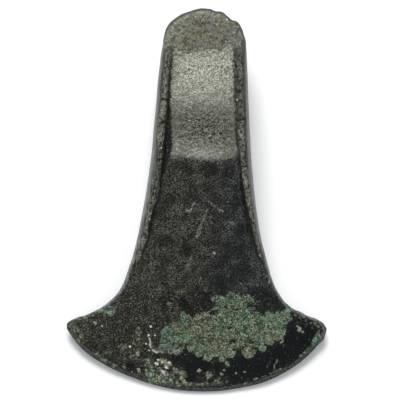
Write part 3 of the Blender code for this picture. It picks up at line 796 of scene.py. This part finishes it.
    def dark_patina(self):
        """Fine pitting under the dark patina, which is calm and glossy in places."""
        head = self.head
        torn = 0.45 * self.uneven(2.2, seed=34) + 0.35 * self.uneven(0.9, seed=43)
        calm = self.within(CALM_PLACES, torn, -0.3, 0.35) * self.above
        bare = (1 - self.seat) * (1 - self.crust) * (1 - self.flank) * (1 - self.bevel)
        grained = PIT_DEPTH * self.uneven(0.75, seed=27) + 0.03 * self.uneven(0.45, seed=26)
        self.relief += bare * (1 - 0.75 * calm) * (grained + 0.05 * self.uneven(4.0, seed=28))
        blade = smooth_step(self.v, *BLADE_ROWS)
        leftness = 1 - smooth_step(head.u + 8 * self.uneven(3.0, seed=42), *BLADE_COLUMNS)
        speckled = np.clip(1.6 * spots(head.u, head.v, SPECKLED_PLACES), 0, 1)
        crowd = (0.14 + 0.16 * leftness) * (1 - blade) + blade * (0.2 + 0.6 * leftness)
        self.shares["calm"] = calm
        dim = self.within(DIM_PLACES, 0.5 * self.uneven(3.0, seed=40), 0.0, 0.8)
        self.shares["dim"] = dim * self.above
        self.shares["crowd"] = np.maximum(crowd, speckled)
        self.shares["grain"] = 1 - blade * (0.85 - 0.3 * leftness)
        self.shares["warm"] = 1 - smooth_step(head.u + 14 * self.uneven(7.0, seed=35), *WARM_COLUMNS)
        blue = self.within(BLUE_PLACES, 0.3 * self.uneven(2.0, seed=36), 0.0, 0.6)
        self.shares["blue"] = blue * self.above
        self.shares["bevel"] = self.bevel


def new_node(tree, kind, **settings):
    """A node of a material, with its settings."""
    made = tree.nodes.new(kind)
    for name, value in settings.items():
        setattr(made, name, value)
    return made


# Sockets of a Mix node by number, since its sockets for numbers and for colours share their names
MIX_AMOUNT = 0
MIX_NUMBERS = (2, 3)
MIX_COLOURS = (6, 7)
NUMBER_RESULT = 0
COLOUR_RESULT = 2

NOISE_DETAIL = 2.0
NOISE_ROUGHNESS = 0.6
RAGGED_BORDER = (0.42, 0.58)


class Finish:
    """Small steps of a material's colour, each one adding its nodes to the tree."""

    def __init__(self, tree):
        self.tree = tree
        self.place = tree.nodes.new("ShaderNodeTexCoord").outputs["Object"]

    def join(self, source, socket):
        """Feeds a socket from another one, or sets it to a number or colour."""
        if isinstance(source, bpy.types.NodeSocket):
            self.tree.links.new(source, socket)
        elif isinstance(source, tuple):
            socket.default_value = (*source, 1)
        else:
            socket.default_value = source

    def share(self, name):
        """One of the shares worked out for every point of the casting."""
        return new_node(self.tree, "ShaderNodeAttribute", attribute_name=name).outputs["Fac"]

    def pattern(self, size, seed, drawn=(1, 1, 1), turn=0.0):
        """Uneven values about a half, in lumps of about a size in millimetres, turned or drawn out."""
        shift = new_node(self.tree, "ShaderNodeMapping")
        self.tree.links.new(self.place, shift.inputs["Vector"])
        shift.inputs["Location"].default_value = (seed, seed * 0.7, -seed)
        shift.inputs["Rotation"].default_value = (0, 0, turn)
        shift.inputs["Scale"].default_value = drawn
        noisy = new_node(self.tree, "ShaderNodeTexNoise")
        self.tree.links.new(shift.outputs["Vector"], noisy.inputs["Vector"])
        noisy.inputs["Scale"].default_value = 1 / (size * MM)
        noisy.inputs["Detail"].default_value = NOISE_DETAIL
        noisy.inputs["Roughness"].default_value = NOISE_ROUGHNESS
        return noisy.outputs["Fac"]

    def mottle(self, size, low, high, seed, drawn=(1, 1, 1)):
        """Patches of about a size, from 0 where the pattern is below low to 1 where it is above high."""
        return self.stretch(self.pattern(size, seed, drawn), low, high)

    def threads(self, size, width, seed):
        """Thin winding threads, 1 along them and 0 from a width of the pattern away."""
        centred = new_node(self.tree, "ShaderNodeMath", operation="SUBTRACT")
        self.join(self.pattern(size, seed), centred.inputs[0])
        self.join(0.5, centred.inputs[1])
        away = new_node(self.tree, "ShaderNodeMath", operation="ABSOLUTE")
        self.join(centred.outputs[0], away.inputs[0])
        return self.stretch(away.outputs[0], 0.0, width, 1.0, 0.0)

    def ragged(self, share, size, seed, spread=2.4):
        """A share with its soft border, at a half, torn up by a pattern of a size in millimetres."""
        centred = new_node(self.tree, "ShaderNodeMath", operation="MULTIPLY_ADD")
        self.join(self.pattern(size, seed), centred.inputs[0])
        self.join(spread, centred.inputs[1])
        self.join(-spread / 2, centred.inputs[2])
        total = new_node(self.tree, "ShaderNodeMath", operation="ADD")
        self.join(share, total.inputs[0])
        self.join(centred.outputs[0], total.inputs[1])
        return self.stretch(total.outputs[0], *RAGGED_BORDER)

    def cells(self, size, seed, feature="F1"):
        """Packed cells of about a size in millimetres."""
        shift = new_node(self.tree, "ShaderNodeMapping")
        self.tree.links.new(self.place, shift.inputs["Vector"])
        shift.inputs["Location"].default_value = (seed, -seed, seed * 0.4)
        packed = new_node(self.tree, "ShaderNodeTexVoronoi", feature=feature)
        self.tree.links.new(shift.outputs["Vector"], packed.inputs["Vector"])
        packed.inputs["Scale"].default_value = 1 / (size * MM)
        return packed

    def stretch(self, value, low, high, to_low=0.0, to_high=1.0):
        """Stretches the range from low to high over another one, and holds it there."""
        spread = new_node(self.tree, "ShaderNodeMapRange")
        self.join(value, spread.inputs["Value"])
        spread.inputs["From Min"].default_value = low
        spread.inputs["From Max"].default_value = high
        spread.inputs["To Min"].default_value = to_low
        spread.inputs["To Max"].default_value = to_high
        return spread.outputs["Result"]

    def times(self, first, *others):
        """Product of several shares."""
        for other in others:
            product = new_node(self.tree, "ShaderNodeMath", operation="MULTIPLY")
            self.join(first, product.inputs[0])
            self.join(other, product.inputs[1])
            first = product.outputs[0]
        return first

    def without(self, value, amount=1.0):
        """1 less an amount of a share."""
        return self.stretch(value, 0, 1, 1, 1 - amount)

    def over(self, under, colour, amount):
        """One colour laid over another by an amount."""
        layer = new_node(self.tree, "ShaderNodeMix", data_type="RGBA")
        self.join(amount, layer.inputs[MIX_AMOUNT])
        self.join(under, layer.inputs[MIX_COLOURS[0]])
        self.join(colour, layer.inputs[MIX_COLOURS[1]])
        return layer.outputs[COLOUR_RESULT]

    def speckle(self, under, colour, amount, size, low, high, seed, drawn=(1, 1, 1)):
        """One colour laid over another by an amount, in patches such as mottle makes."""
        return self.over(under, colour, self.times(self.mottle(size, low, high, seed, drawn), amount))

    def between(self, under, value, amount):
        """One number laid over another by an amount."""
        layer = new_node(self.tree, "ShaderNodeMix", data_type="FLOAT")
        self.join(amount, layer.inputs[MIX_AMOUNT])
        self.join(under, layer.inputs[MIX_NUMBERS[0]])
        self.join(value, layer.inputs[MIX_NUMBERS[1]])
        return layer.outputs[NUMBER_RESULT]


# Colours of the finishes, from the dark patina to the crust and its crystals
BROWN_BLACK = (0.0062, 0.0058, 0.0042)
BLUE_BLACK = (0.0052, 0.0064, 0.0074)
GRAIN_OLIVE = (0.1, 0.099, 0.08)
GRAIN_GREY = (0.084, 0.088, 0.085)
BLUE_HAZE = (0.006, 0.012, 0.015)
SPECK = (0.28, 0.276, 0.222)
PALE_PATINA_AND_SHEEN = (0.5, 0.505, 0.415)
DIM_PATINA = (0.078, 0.079, 0.065)
PALE_SHADE = (0.05, 0.051, 0.04)
BUTT_GREY = (0.13, 0.132, 0.106)
BUTT_OLIVE = (0.138, 0.137, 0.088)
BUTT_RUST = (0.125, 0.1, 0.072)
BUTT_MOSS = (0.185, 0.19, 0.13)
FLANK_LIGHT = (0.16, 0.17, 0.158)
FLANK_DARK = (0.046, 0.046, 0.044)
CREST_OLIVE = (0.098, 0.1, 0.077)
CREST_PALE = (0.29, 0.293, 0.24)
GREEN_TINT = (0.05, 0.082, 0.06)
DEEP_SHADE = (0.006, 0.006, 0.005)
BEVEL_GREY = (0.06, 0.062, 0.063)
CRUST_GREY = (0.115, 0.15, 0.095)
CRUST_GREEN = (0.085, 0.163, 0.085)
CRUST_TEAL = (0.04, 0.13, 0.1)
CRUST_OLIVE = (0.133, 0.133, 0.074)
CRUST_LIGHT = (0.31, 0.36, 0.25)
OLIVE_LIGHT = (0.325, 0.345, 0.23)
GREEN_LIGHT = (0.275, 0.385, 0.25)
TEAL_LIGHT = (0.2, 0.37, 0.29)
CRUST_SHADE = (0.01, 0.016, 0.01)
GROWTH_OLIVE = (0.17, 0.185, 0.125)
CRYSTAL_PALE = (0.29, 0.3, 0.22)
SCRATCH_PALE = (0.44, 0.45, 0.37)
BRIGHT_GRAIN = (0.75, 0.75, 0.66)

# Roughness of each finish, its shine, the fine bump, and the size of the crust's bits, in millimetres
DARK_ROUGHNESS = (0.26, 0.4)
DIM_ROUGHNESS = 0.22
SEAT_ROUGHNESS = 0.6
CALM_ROUGHNESS = 0.24
CRUST_ROUGHNESS = 0.86
SHINE = 0.14
BUMP_STRENGTH = 0.9
BUMP_DEPTH = 0.16
CRUST_BITS = 1.2


def dark_patina(finish):
    """Brown-black to blue-black patina with a fine grain, and specks that crowd on the blade's left."""
    lively = finish.without(finish.share("calm"), 0.97)
    colour = finish.over(BLUE_BLACK, BROWN_BLACK, finish.times(finish.share("warm"), lively))
    haze = finish.times(finish.share("blue"), finish.mottle(1.1, 0.42, 0.6, seed=22))
    colour = finish.over(colour, BLUE_HAZE, haze)
    grain = finish.over(GRAIN_GREY, GRAIN_OLIVE, finish.share("warm"))
    drifts = finish.mottle(3.4, 0.36, 0.6, seed=4)
    fine = finish.mottle(0.36, 0.5, 0.57, seed=2)
    web = finish.times(finish.share("grain"), finish.without(finish.share("dim"), 0.8))
    clustered = finish.stretch(drifts, 0, 1, 0.3, 1)
    colour = finish.over(colour, grain, finish.times(fine, clustered, lively, web))
    specks = finish.times(finish.mottle(0.36, 0.58, 0.66, seed=3), clustered)
    return finish.over(colour, SPECK, finish.times(specks, finish.share("crowd"), lively))


def pale_seat(finish, colour):
    """Pale olive-grey patina where the haft lay, pebbled like leather and wrinkled towards the stop. Its
    paleness is partly a painted sheen; shade is painted in its dip, wrinkles, creases and furrows, and
    highlights on the wrinkled part.
    """
    # The palest colour stands partly for a painted sheen on the seat
    ground = finish.over(DIM_PATINA, PALE_PATINA_AND_SHEEN, finish.share("pale_and_lit"))
    pale_and_lit = finish.over(PALE_SHADE, ground, finish.mottle(0.32, 0.38, 0.52, seed=6))
    pale_and_lit = finish.over(pale_and_lit, PALE_SHADE, finish.stretch(finish.share("pebble"), 0.0, 0.6, 0.5, 0.0))
    # Painted shade in the seat's wrinkles
    wrinkle_shade = finish.stretch(finish.pattern(0.5, seed=5, drawn=(0.5, 1.2, 1), turn=0.4), 0.49, 0.54)
    pale_and_lit = finish.over(pale_and_lit, DEEP_SHADE, finish.times(wrinkle_shade, finish.share("wrinkled"), 0.85))
    # Painted shade in the creases and furrows
    pale_and_lit = finish.over(pale_and_lit, DEEP_SHADE, finish.times(finish.share("crease"), 0.6))
    # Painted highlights on the wrinkled part
    wrinkle_highlights = finish.mottle(0.42, 0.54, 0.61, seed=42)
    pale_and_lit = finish.over(pale_and_lit, CREST_PALE, finish.times(wrinkle_highlights, finish.share("wrinkled"), 0.65))
    torn = finish.ragged(finish.share("seat"), 0.5, seed=24)
    thinning = finish.stretch(finish.share("seat"), 0.3, 0.95, 0.4, 1)
    return finish.over(colour, pale_and_lit, finish.times(torn, thinning))


def rough_butt(finish, colour):
    """Grey butt blotched with olive and rust, lined with dark threads."""
    rough = finish.over(BUTT_GREY, BUTT_OLIVE, finish.mottle(3.2, 0.48, 0.6, seed=7))
    rough = finish.speckle(rough, BUTT_RUST, 0.75, 1.6, 0.54, 0.62, seed=8)
    rough = finish.over(rough, BUTT_MOSS, finish.times(finish.share("olive"), 0.7))
    rough = finish.speckle(rough, CREST_PALE, 0.6, 0.42, 0.52, 0.6, seed=10)
    rough = finish.over(rough, DEEP_SHADE, finish.times(finish.threads(1.2, 0.035, seed=9), 0.65))
    rough = finish.speckle(rough, DEEP_SHADE, 0.55, 0.46, 0.53, 0.6, seed=18)
    rough = finish.speckle(rough, DEEP_SHADE, 0.5, 1.3, 0.53, 0.6, seed=37)
    rough = finish.over(rough, CREST_PALE, finish.times(finish.threads(1.7, 0.025, seed=46), 0.5))
    return finish.over(colour, rough, finish.ragged(finish.share("butt"), 0.6, seed=25))


def flange_finish(finish, colour):
    """Grey streaked flanks, mottled olive crests with green on the left, painted shade on the right side's
    flank and crest, and painted shade on the inner slopes and the left flange's shadow.
    """
    # Painted shade on the inner slopes and the left flange's shadow
    slope = finish.ragged(finish.share("slope"), 0.6, seed=26)
    slope_shade = finish.times(slope, finish.mottle(0.7, 0.36, 0.5, seed=36), 0.9)
    colour = finish.over(colour, DEEP_SHADE, slope_shade)
    crest = finish.over(CREST_OLIVE, GREEN_TINT, finish.times(finish.share("green"), 0.8))
    crest = finish.speckle(crest, CREST_PALE, 0.75, 0.42, 0.54, 0.62, seed=11)
    crest = finish.speckle(crest, DEEP_SHADE, 0.85, 0.62, 0.49, 0.57, seed=12, drawn=(1, 0.6, 1))
    # Painted shade on the crests, mostly on the right side
    crest = finish.over(crest, DEEP_SHADE, finish.stretch(finish.share("wear_and_side_shade"), 0.14, 0.36, 0.35, 0))
    colour = finish.over(colour, crest, finish.share("crest"))
    streaks = finish.mottle(0.6, 0.42, 0.6, seed=13, drawn=(1, 0.14, 0.6))
    # Fewer light streaks on the right flank: painted shade
    flank = finish.over(FLANK_DARK, FLANK_LIGHT, finish.times(streaks, finish.share("wear_and_side_shade")))
    flank = finish.speckle(flank, FLANK_DARK, 0.65, 0.8, 0.5, 0.6, seed=19, drawn=(1, 0.4, 1))
    flank = finish.speckle(flank, DEEP_SHADE, 0.5, 2.8, 0.44, 0.62, seed=50)
    torn = finish.ragged(finish.share("flank"), 0.7, seed=27)
    return finish.over(colour, flank, finish.times(torn, 0.95))


def green_crust(finish, colour):
    """Grey-green corrosion with teal and olive parts, dark joints, painted shade between its beads and
    under its scallops, and small growths of it.
    """
    tone = finish.over(CRUST_GREY, CRUST_TEAL, finish.times(finish.share("teal"), 0.75))
    tone = finish.over(tone, CRUST_OLIVE, finish.times(finish.share("olive"), 0.8))
    tone = finish.over(tone, CRUST_GREEN, finish.times(finish.share("verdant"), 0.85))
    light = finish.over(CRUST_LIGHT, OLIVE_LIGHT, finish.share("olive"))
    light = finish.over(light, GREEN_LIGHT, finish.share("verdant"))
    light = finish.over(light, TEAL_LIGHT, finish.times(finish.share("teal"), 0.45))
    crust = finish.over(tone, light, finish.times(finish.threads(0.8, 0.035, seed=28), 0.75))
    crust = finish.speckle(crust, light, 0.8, 0.42, 0.51, 0.58, seed=14)
    crust = finish.speckle(crust, CRUST_SHADE, 0.9, 0.42, 0.48, 0.55, seed=15)
    crust = finish.speckle(crust, CRUST_SHADE, 0.55, 1.6, 0.53, 0.6, seed=35)
    crust = finish.over(crust, light, finish.times(finish.share("hem"), 0.45))
    # Painted shade between the crust's lobes and under its scallops
    crust = finish.over(crust, CRUST_SHADE, finish.times(finish.share("seam_shade"), 0.9))
    bits = finish.cells(CRUST_BITS, seed=29).outputs["Color"]
    joints = finish.cells(CRUST_BITS, seed=29, feature="DISTANCE_TO_EDGE").outputs["Distance"]
    joint_lines = finish.stretch(joints, 0.03, 0.13, 0.85, 0)
    flaked = finish.times(finish.stretch(bits, 0.5, 0.62), finish.share("mosaic"), 0.5)
    crust = finish.over(crust, CRYSTAL_PALE, flaked)
    crust = finish.over(crust, CRUST_SHADE, finish.times(joint_lines, finish.share("mosaic")))
    toned = finish.times(finish.stretch(finish.share("verdant"), 0, 1, 0.2, 1), 0.8)
    growth = finish.over(GROWTH_OLIVE, tone, toned)
    growth = finish.over(growth, CRYSTAL_PALE, finish.times(finish.stretch(bits, 0.5, 0.62), 0.8))
    growth = finish.over(growth, CRUST_SHADE, finish.times(finish.stretch(bits, 0.4, 0.34), 0.6))
    growth = finish.speckle(growth, CRUST_SHADE, 0.6, 0.36, 0.5, 0.58, seed=21)
    growth = finish.over(growth, CRUST_SHADE, joint_lines)
    growth = finish.over(growth, CRUST_SHADE, finish.times(finish.share("joint"), 0.4))
    colour = finish.over(colour, growth, finish.ragged(finish.share("growth"), 0.5, seed=30, spread=1.0))
    return finish.over(colour, crust, finish.ragged(finish.share("crust"), 0.7, seed=31))


def patinated_bronze():
    """The whole finish of the casting."""
    material = bpy.data.materials.new("patinated_bronze")
    material.use_nodes = True
    tree = material.node_tree
    shader = tree.nodes["Principled BSDF"]
    finish = Finish(tree)
    colour = dark_patina(finish)
    colour = pale_seat(finish, colour)
    colour = rough_butt(finish, colour)
    colour = flange_finish(finish, colour)
    # Painted shade along the butt's rim
    colour = finish.over(colour, DEEP_SHADE, finish.times(finish.share("rim_shade"), 0.85))
    bevel = finish.speckle(BEVEL_GREY, DEEP_SHADE, 0.7, 0.9, 0.48, 0.58, seed=38)
    bevel = finish.speckle(bevel, FLANK_LIGHT, 0.4, 0.5, 0.54, 0.62, seed=39)
    torn = finish.ragged(finish.share("bevel"), 0.5, seed=40)
    colour = finish.over(colour, bevel, finish.times(torn, 0.9))
    # Painted shade in the cracks and grooves of the flanges
    colour = finish.over(colour, DEEP_SHADE, finish.times(finish.share("crevice_shade"), 0.9))
    colour = green_crust(finish, colour)
    crystal = finish.ragged(finish.share("crystal"), 0.5, seed=32, spread=1.6)
    crystal_tone = finish.over(CRYSTAL_PALE, GROWTH_OLIVE, finish.mottle(0.5, 0.4, 0.56, seed=33))
    colour = finish.over(colour, crystal_tone, finish.times(crystal, 0.9))
    scratch = finish.times(finish.share("scratch"), finish.mottle(0.5, 0.3, 0.5, seed=34))
    colour = finish.over(colour, SCRATCH_PALE, scratch)
    colour = finish.over(colour, BRIGHT_GRAIN, finish.share("bright"))
    tree.links.new(colour, shader.inputs["Base Color"])
    rough = finish.stretch(finish.pattern(0.8, seed=16), 0.35, 0.7, *DARK_ROUGHNESS)
    rough = finish.between(rough, DIM_ROUGHNESS, finish.times(finish.share("dim"), 0.8))
    rough = finish.between(rough, SEAT_ROUGHNESS, finish.share("seat"))
    rough = finish.between(rough, CALM_ROUGHNESS, finish.share("calm"))
    rough = finish.between(rough, CRUST_ROUGHNESS, finish.share("crust"))
    tree.links.new(rough, shader.inputs["Roughness"])
    shader.inputs["Metallic"].default_value = 0.0
    shader.inputs["Specular IOR Level"].default_value = SHINE
    fine = finish.between(finish.pattern(0.42, seed=17), 0.5, finish.times(finish.share("calm"), 0.8))
    bump = new_node(tree, "ShaderNodeBump")
    bump.inputs["Strength"].default_value = BUMP_STRENGTH
    bump.inputs["Distance"].default_value = BUMP_DEPTH * MM
    tree.links.new(fine, bump.inputs["Height"])
    tree.links.new(bump.outputs["Normal"], shader.inputs["Normal"])
    return material


def weathered_axe_head():
    """The axe head as a fine mesh, weathered, in place of the plain casting."""
    skin = smooth_casting(frame["nodes"]["axe_head"])
    divide(skin)
    head = Casting(skin)
    head.shift_outline()
    weathering = Weathering(head)
    points = head.points + head.outward * weathering.relief[:, None]
    points[:, 2] = np.maximum(points[:, 2], TABLE_GAP)
    skin.vertices.foreach_set("co", (points * MM).ravel())
    for name, values in weathering.shares.items():
        skin.attributes.new(name, "FLOAT", "POINT").data.foreach_set("value", values)
    skin.materials.clear()
    skin.materials.append(patinated_bronze())
    skin.shade_smooth()
    skin.update()
    piece = bpy.data.objects.new("weathered_axe_head", skin)
    bpy.context.scene.collection.objects.link(piece)
    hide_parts("axe_head")
    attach(piece, "root")


def pale_table():
    """The plain pale table that the head lies on."""
    mesh = bmesh.new()
    bmesh.ops.create_grid(mesh, x_segments=1, y_segments=1, size=TABLE_SIZE)
    data = bpy.data.meshes.new("table_top")
    mesh.to_mesh(data)
    mesh.free()
    material = bpy.data.materials.new("pale_paper")
    material.use_nodes = True
    shader = material.node_tree.nodes["Principled BSDF"]
    shader.inputs["Base Color"].default_value = PAPER_WHITE
    shader.inputs["Roughness"].default_value = PAPER_ROUGHNESS
    shader.inputs["Specular IOR Level"].default_value = PAPER_SHINE
    data.materials.append(material)
    table = bpy.data.objects.new("table_top", data)
    bpy.context.scene.collection.objects.link(table)


def soft_lamp(name, place, size, power):
    """A square soft lamp that shines at the head."""
    lamp = bpy.data.lights.new(name, "AREA")
    lamp.size = size
    lamp.energy = power
    holder = bpy.data.objects.new(name, lamp)
    holder.location = place
    holder.rotation_euler = (-Vector(place)).to_track_quat("-Z", "Y").to_euler()
    bpy.context.scene.collection.objects.link(holder)


def studio():
    """Even light all round, dimmer overhead, and a soft window beyond the butt."""
    world = bpy.data.worlds.new("studio")
    world.use_nodes = True
    tree = world.node_tree
    direction = tree.nodes.new("ShaderNodeTexCoord")
    split = tree.nodes.new("ShaderNodeSeparateXYZ")
    tree.links.new(direction.outputs["Generated"], split.inputs["Vector"])
    ceiling = tree.nodes.new("ShaderNodeMapRange")
    ceiling.interpolation_type = "SMOOTHSTEP"
    ceiling.inputs["From Min"].default_value = math.cos(CEILING_RIM)
    ceiling.inputs["From Max"].default_value = math.cos(CEILING_MIDDLE)
    ceiling.inputs["To Min"].default_value = SKY_STRENGTH
    ceiling.inputs["To Max"].default_value = CEILING_STRENGTH
    tree.links.new(split.outputs["Z"], ceiling.inputs["Value"])
    background = tree.nodes["Background"]
    background.inputs["Color"].default_value = ROOM_TINT
    tree.links.new(ceiling.outputs["Result"], background.inputs["Strength"])
    bpy.context.scene.world = world
    soft_lamp("window", WINDOW_PLACE, WINDOW_SIZE, WINDOW_POWER)


def camera_above():
    """The photograph's camera, straight above the head."""
    camera = bpy.data.cameras.new("camera")
    camera.sensor_width = SENSOR_WIDTH
    camera.lens = SENSOR_WIDTH * (CAMERA_LEVEL - PLATE_LEVEL) / (PICTURE_WIDTH * PIXEL)
    holder = bpy.data.objects.new("camera", camera)
    off_middle = (PICTURE_WIDTH / 2 - HEAD_MIDDLE[0]) * PIXEL
    holder.location = Vector((off_middle, 0, CAMERA_LEVEL)) * MM
    holder.rotation_euler = (0, 0, HEAD_TURN)
    bpy.context.scene.collection.objects.link(holder)
    bpy.context.scene.camera = holder


weathered_axe_head()
pale_table()
studio()
camera_above()
bpy.context.scene.view_settings.view_transform = "Standard"
